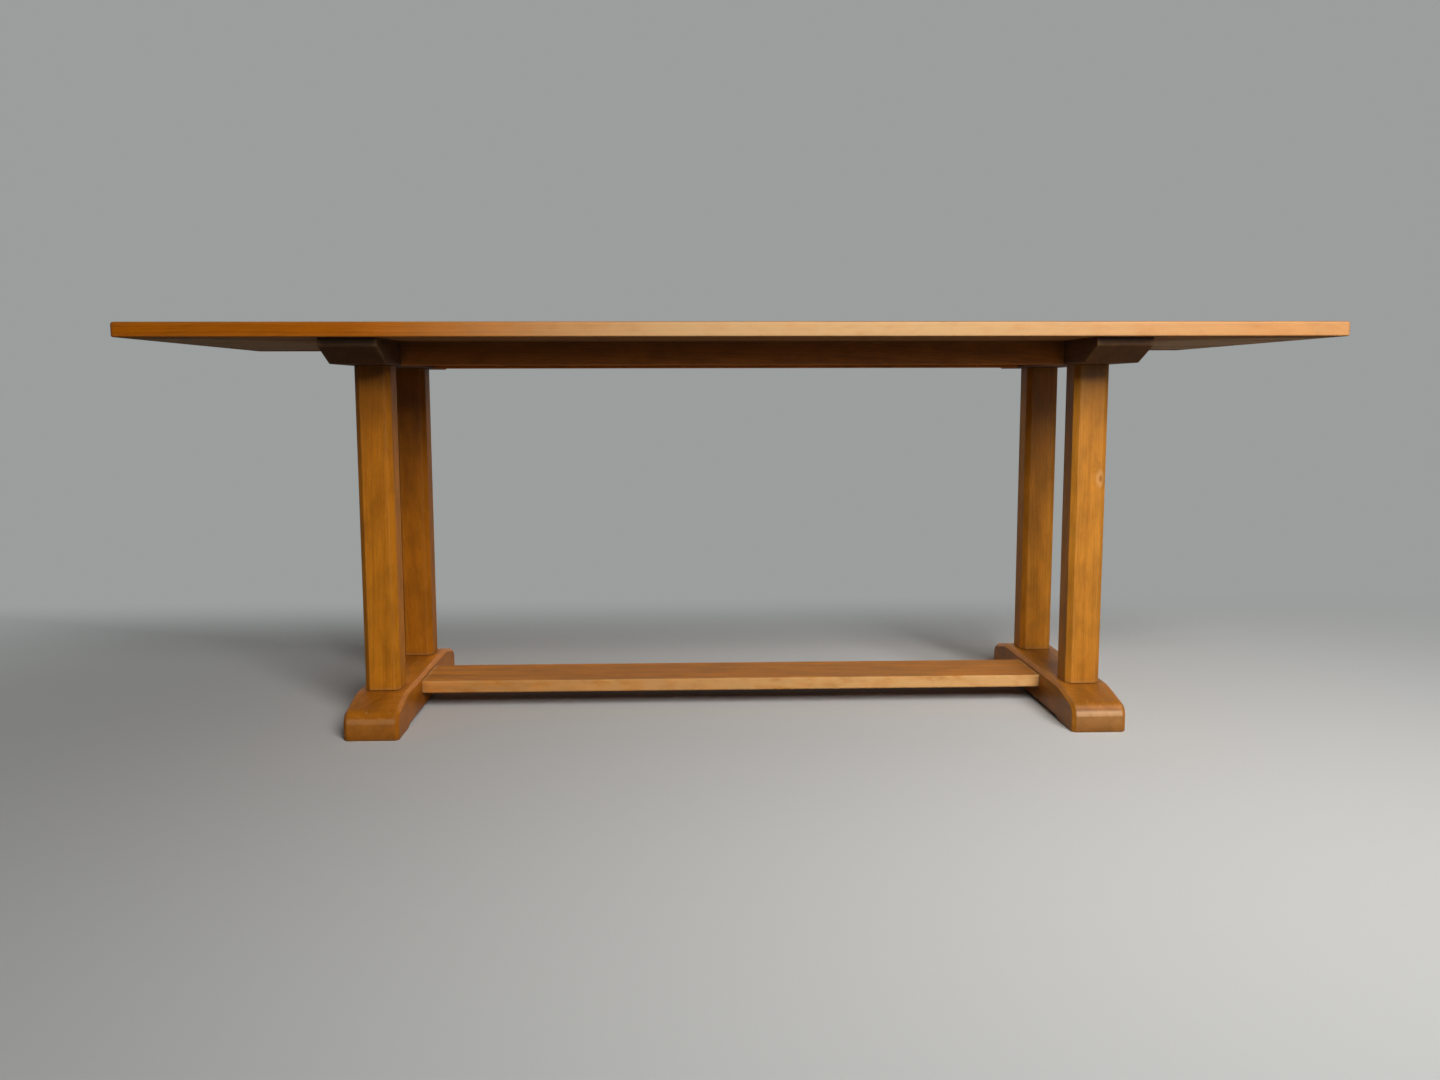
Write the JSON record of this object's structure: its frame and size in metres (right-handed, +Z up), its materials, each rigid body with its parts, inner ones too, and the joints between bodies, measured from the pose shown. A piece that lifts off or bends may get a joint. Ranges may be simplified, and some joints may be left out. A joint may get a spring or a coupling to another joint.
{
  "type": "trestle dining table",
  "caption": "Oak trestle dining table: boarded top on cross bearers and long rails, chamfered posts on sloped sled feet, tied by a low flat stretcher.",
  "frame": {"origin": "on the floor under the middle of the top", "axes": "+X along the top to the right, +Y to the rear, +Z up"},
  "size_m": [2.146, 0.76, 0.76],
  "materials": {
    "top_oak": "satin varnish",
    "frame_oak": "satin varnish",
    "plain_oak": "bare wood",
    "screw_steel": "dull"
  },
  "bodies": {
    "root": {"top_board_1": "top_oak", "top_board_2": "top_oak", "top_board_3": "top_oak", "top_board_4": "top_oak", "top_board_5": "top_oak", "left_front_post": "frame_oak", "left_rear_post": "frame_oak", "right_front_post": "frame_oak", "right_rear_post": "frame_oak", "left_bearer": "frame_oak", "right_bearer": "frame_oak", "left_foot": "frame_oak", "right_foot": "frame_oak", "stretcher": "frame_oak", "front_rail": "frame_oak", "rear_rail": "frame_oak", "top_tongue_1": "plain_oak", "top_tongue_2": "plain_oak", "top_tongue_3": "plain_oak", "top_tongue_4": "plain_oak", "front_button_1": "plain_oak", "front_button_2": "plain_oak", "front_button_3": "plain_oak", "rear_button_1": "plain_oak", "rear_button_2": "plain_oak", "rear_button_3": "plain_oak", "bearer_screws": "screw_steel", "button_screws": "screw_steel"}
  },
  "joints": []
}
